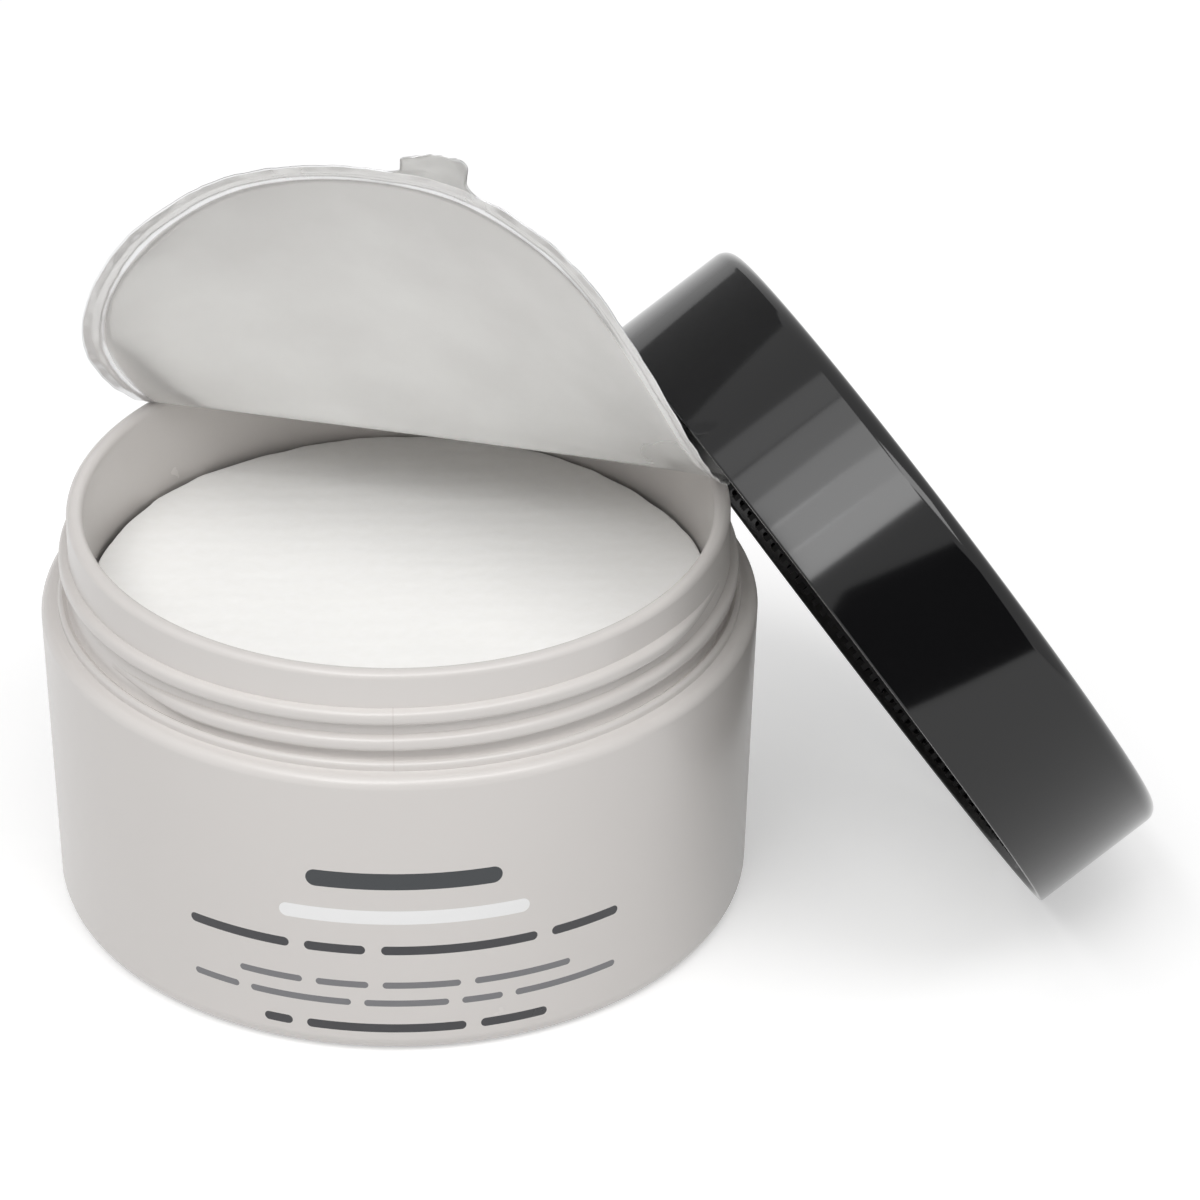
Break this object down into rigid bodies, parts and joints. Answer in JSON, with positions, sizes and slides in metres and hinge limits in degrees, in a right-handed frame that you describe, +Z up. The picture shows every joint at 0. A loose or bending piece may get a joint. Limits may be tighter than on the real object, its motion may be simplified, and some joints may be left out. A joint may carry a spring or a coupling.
{
  "type": "pack of exfoliating wipes",
  "caption": "Open screw-top jar of round exfoliating wipes with a peeled foil seal and its black cap leaning against the side.",
  "frame": {"origin": "centre of the jar's foot ring, on the surface it stands on", "axes": "+Z up along the jar's axis, +X towards the leaning cap, -Y to the front"},
  "size_m": [0.1328, 0.0879, 0.1048],
  "materials": {
    "jar_plastic": "satin warm grey moulding",
    "wipe_fibre": "soft embossed non-woven fibre",
    "seal_foil": "thin sealing foil, satin underside",
    "cap_plastic": "polished black",
    "insert_plastic": "plain black",
    "liner_foam": "white foamed sheet"
  },
  "bodies": {
    "root": {"jar": "jar_plastic", "wipe_01": "wipe_fibre", "wipe_02": "wipe_fibre", "wipe_03": "wipe_fibre", "wipe_04": "wipe_fibre", "wipe_05": "wipe_fibre", "wipe_06": "wipe_fibre", "wipe_07": "wipe_fibre", "wipe_08": "wipe_fibre", "wipe_09": "wipe_fibre", "wipe_10": "wipe_fibre", "wipe_11": "wipe_fibre", "wipe_12": "wipe_fibre", "wipe_13": "wipe_fibre", "wipe_14": "wipe_fibre", "wipe_15": "wipe_fibre", "wipe_16": "wipe_fibre", "wipe_17": "wipe_fibre", "wipe_18": "wipe_fibre", "wipe_19": "wipe_fibre", "wipe_20": "wipe_fibre", "wipe_21": "wipe_fibre", "wipe_22": "wipe_fibre", "wipe_23": "wipe_fibre", "wipe_24": "wipe_fibre", "wipe_25": "wipe_fibre", "wipe_26": "wipe_fibre", "wipe_27": "wipe_fibre", "wipe_28": "wipe_fibre", "wipe_29": "wipe_fibre", "wipe_30": "wipe_fibre", "foil_seal": "seal_foil", "cap_shell": "cap_plastic", "cap_insert": "insert_plastic", "cap_liner": "liner_foam"}
  },
  "joints": []
}
